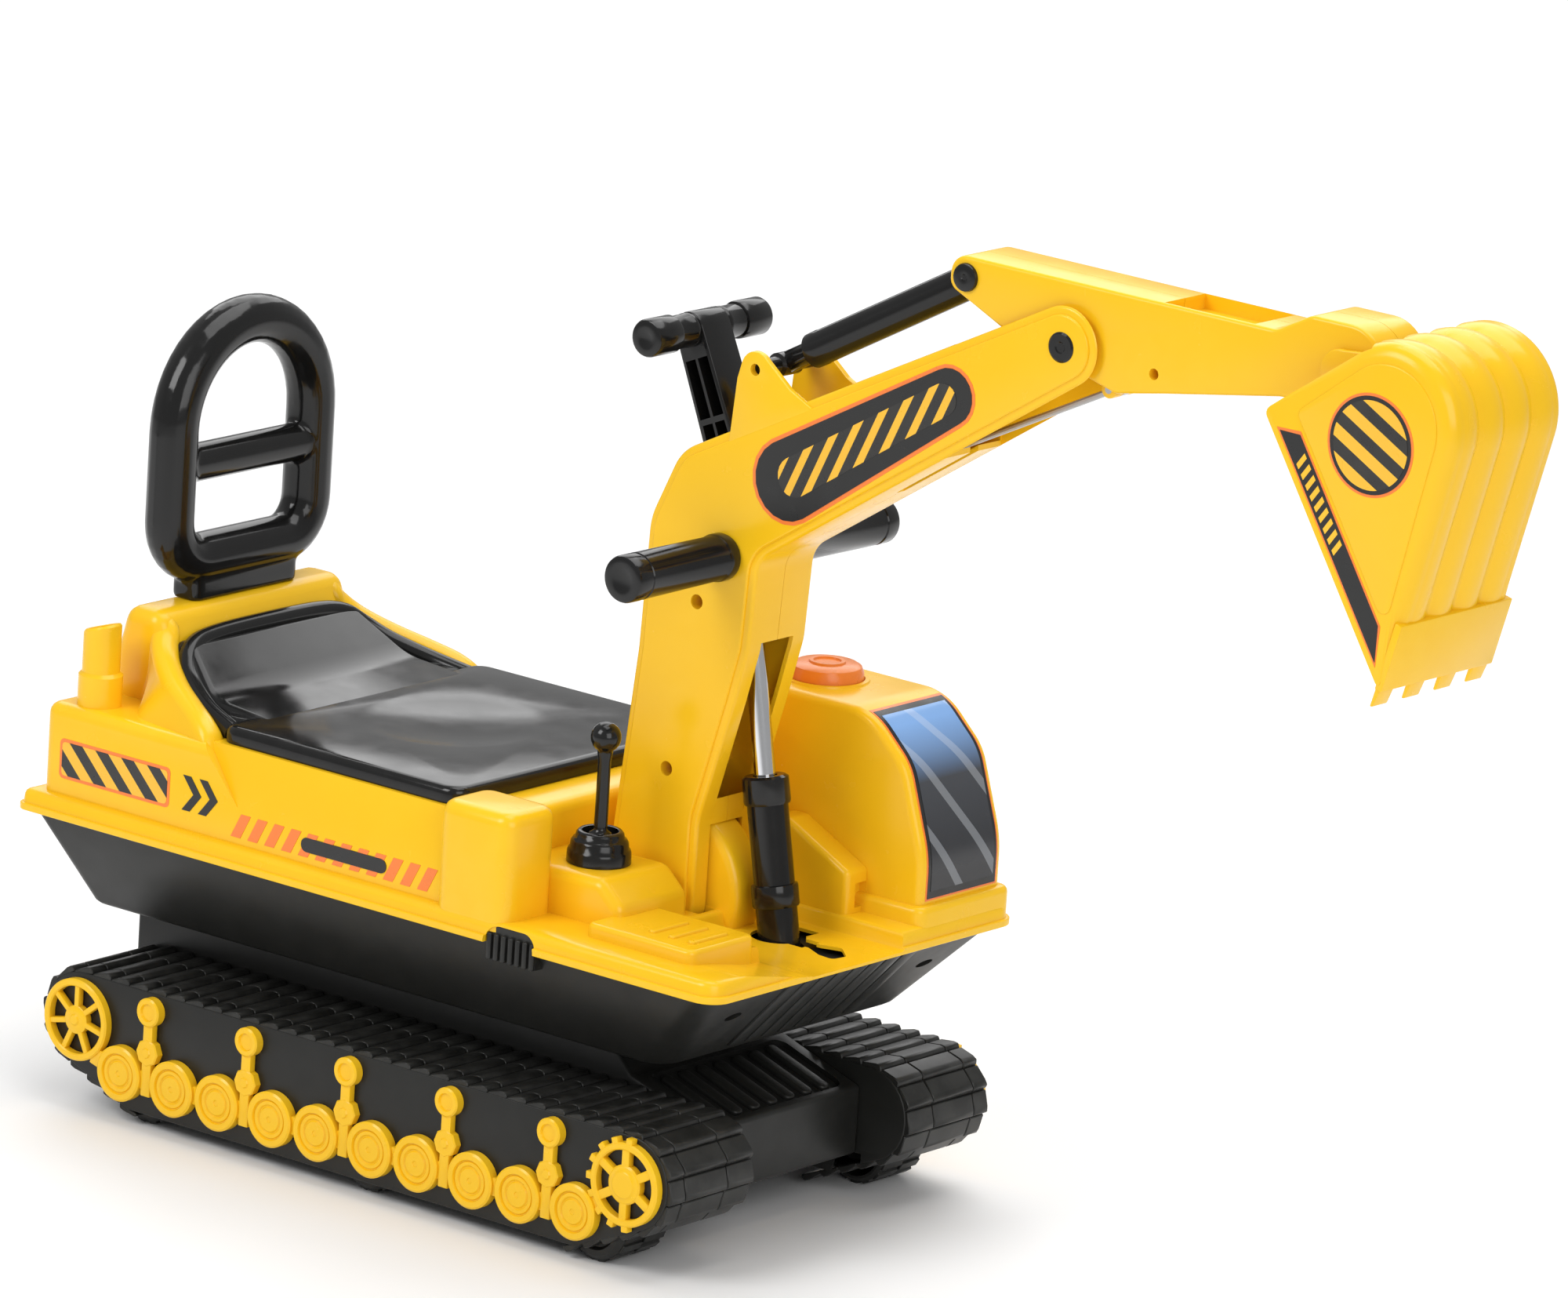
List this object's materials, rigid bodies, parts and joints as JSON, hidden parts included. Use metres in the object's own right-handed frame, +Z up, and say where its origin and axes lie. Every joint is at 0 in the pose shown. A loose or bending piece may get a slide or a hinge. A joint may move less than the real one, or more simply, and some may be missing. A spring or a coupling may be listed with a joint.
{
  "type": "toy excavator",
  "caption": "Ride-on toy excavator with tracked rolling undercarriage, swivelling yellow body with seat and backrest, and a lever-worked digging arm with a toothed bucket.",
  "frame": {"origin": "middle of the footprint on the floor, under the centre of the bounding box", "axes": "+X forward towards the bucket, +Y to the rider's left, +Z up"},
  "size_m": [1.22, 0.391, 0.7845],
  "materials": {
    "yellow_plastic": "glossy moulded",
    "gloss_black_plastic": "glossy moulded",
    "satin_dark_plastic": "satin moulded",
    "orange_plastic": "glossy moulded",
    "chrome": "bright plated",
    "steel": "drawn"
  },
  "bodies": {
    "undercarriage": {"chassis": "satin_dark_plastic", "track_right": "satin_dark_plastic", "track_left": "satin_dark_plastic", "roller_trim_right": "yellow_plastic", "roller_trim_left": "yellow_plastic", "axle_rear": "steel", "axle_middle": "steel", "axle_front": "steel", "turntable_ring": "satin_dark_plastic", "king_bolt": "steel", "king_bolt_washer": "steel"},
    "wheel_right_rear": {"wheel_right_rear": "satin_dark_plastic"},
    "wheel_right_middle": {"wheel_right_middle": "satin_dark_plastic"},
    "wheel_right_front": {"wheel_right_front": "satin_dark_plastic"},
    "wheel_left_rear": {"wheel_left_rear": "satin_dark_plastic"},
    "wheel_left_middle": {"wheel_left_middle": "satin_dark_plastic"},
    "wheel_left_front": {"wheel_left_front": "satin_dark_plastic"},
    "upper_body": {"lower_shell": "satin_dark_plastic", "upper_shell": "yellow_plastic", "seat": "gloss_black_plastic", "backrest": "gloss_black_plastic", "cab_hood": "yellow_plastic", "sound_box": "satin_dark_plastic", "joystick_socket": "gloss_black_plastic"},
    "button": {"horn_button": "orange_plastic"},
    "control_stick": {"joystick": "gloss_black_plastic"},
    "boom": {"boom_right": "yellow_plastic", "boom_left": "yellow_plastic", "lift_pin": "steel", "elbow_pin": "steel", "lever_pin": "steel", "column_screw_upper": "steel", "column_screw_lower": "steel", "handlebar_tube": "steel", "grip_right": "gloss_black_plastic", "grip_left": "gloss_black_plastic"},
    "strut_outer": {"strut_sleeve": "gloss_black_plastic"},
    "strut_inner": {"strut_rod": "chrome"},
    "lever": {"t_lever": "gloss_black_plastic", "t_bar": "gloss_black_plastic", "push_rod_pin_rear": "steel"},
    "stick": {"stick_right": "yellow_plastic", "stick_left": "yellow_plastic", "link_pin": "steel", "push_rod_pin_front": "steel", "bucket_pin": "steel"},
    "rod": {"push_rod": "steel"},
    "link_outer": {"link_sleeve": "gloss_black_plastic"},
    "link_inner": {"link_rod": "gloss_black_plastic"},
    "scoop": {"bucket": "yellow_plastic"}
  },
  "joints": [
    {"name": "roll_right_rear", "type": "hinge", "parent": "undercarriage", "child": "wheel_right_rear", "pos_m": [-0.466, -0.152, 0.03], "axis": [0, 1, 0], "continuous": true},
    {"name": "roll_right_middle", "type": "hinge", "parent": "undercarriage", "child": "wheel_right_middle", "pos_m": [-0.243, -0.152, 0.03], "axis": [0, 1, 0], "continuous": true},
    {"name": "roll_right_front", "type": "hinge", "parent": "undercarriage", "child": "wheel_right_front", "pos_m": [-0.022, -0.152, 0.03], "axis": [0, 1, 0], "continuous": true},
    {"name": "roll_left_rear", "type": "hinge", "parent": "undercarriage", "child": "wheel_left_rear", "pos_m": [-0.466, 0.152, 0.03], "axis": [0, 1, 0], "continuous": true},
    {"name": "roll_left_middle", "type": "hinge", "parent": "undercarriage", "child": "wheel_left_middle", "pos_m": [-0.243, 0.152, 0.03], "axis": [0, 1, 0], "continuous": true},
    {"name": "roll_left_front", "type": "hinge", "parent": "undercarriage", "child": "wheel_left_front", "pos_m": [-0.022, 0.152, 0.03], "axis": [0, 1, 0], "continuous": true},
    {"name": "swivel", "type": "hinge", "parent": "undercarriage", "child": "upper_body", "pos_m": [-0.26, 0, 0.132], "axis": [0, 0, 1], "continuous": true},
    {"name": "button_press", "type": "slide", "parent": "upper_body", "child": "button", "axis": [0, 0, 1], "range_m": [-0.004, 0], "stiffness_N_per_m": 400, "springref_m": 0.002},
    {"name": "joystick_tilt", "type": "hinge", "parent": "upper_body", "child": "control_stick", "pos_m": [-0.114, -0.085, 0.2812], "axis": [0, 1, 0], "range_deg": [-12, 12]},
    {"name": "boom_lift", "type": "hinge", "parent": "upper_body", "child": "boom", "pos_m": [-0.102, 0, 0.24], "axis": [0, -1, 0], "range_deg": [-8, 8]},
    {"name": "strut_swing", "type": "hinge", "parent": "upper_body", "child": "strut_outer", "pos_m": [-0.008, 0, 0.222], "axis": [0, -1, 0], "range_deg": [-7, 7]},
    {"name": "strut_slide", "type": "slide", "parent": "strut_outer", "child": "strut_inner", "axis": [-0.187, 0, 0.9824], "range_m": [-0.013, 0.013]},
    {"name": "stick_swing", "type": "hinge", "parent": "boom", "child": "stick", "pos_m": [0.242, 0, 0.719], "axis": [0, -1, 0], "range_deg": [-20, 12]},
    {"name": "lever_swing", "type": "hinge", "parent": "boom", "child": "lever", "pos_m": [-0.07, 0, 0.56], "axis": [0, -1, 0], "range_deg": [-21, 13]},
    {"name": "push_rod_swing", "type": "hinge", "parent": "stick", "child": "rod", "pos_m": [0.272, 0, 0.691], "axis": [0, -1, 0], "range_deg": [-13, 21]},
    {"name": "link_swing", "type": "hinge", "parent": "stick", "child": "link_outer", "pos_m": [0.146, 0, 0.751], "axis": [0, -1, 0], "range_deg": [-17, 27]},
    {"name": "link_slide", "type": "slide", "parent": "link_outer", "child": "link_inner", "axis": [-0.8712, 0, -0.4909], "range_m": [-0.0185, 0.0295]},
    {"name": "bucket_tip", "type": "hinge", "parent": "stick", "child": "scoop", "pos_m": [0.485, 0, 0.748], "axis": [0, -1, 0], "range_deg": [-45, 35]}
  ],
  "couplings": [
    {"joint": "strut_swing", "follows": "boom_lift", "ratio": 0.842},
    {"joint": "strut_slide", "follows": "boom_lift", "m_per_rad": 0.0889},
    {"joint": "lever_swing", "follows": "stick_swing", "ratio": 1},
    {"joint": "push_rod_swing", "follows": "stick_swing", "ratio": -1},
    {"joint": "link_swing", "follows": "stick_swing", "ratio": -1.29},
    {"joint": "link_slide", "follows": "stick_swing", "m_per_rad": -0.0795}
  ]
}
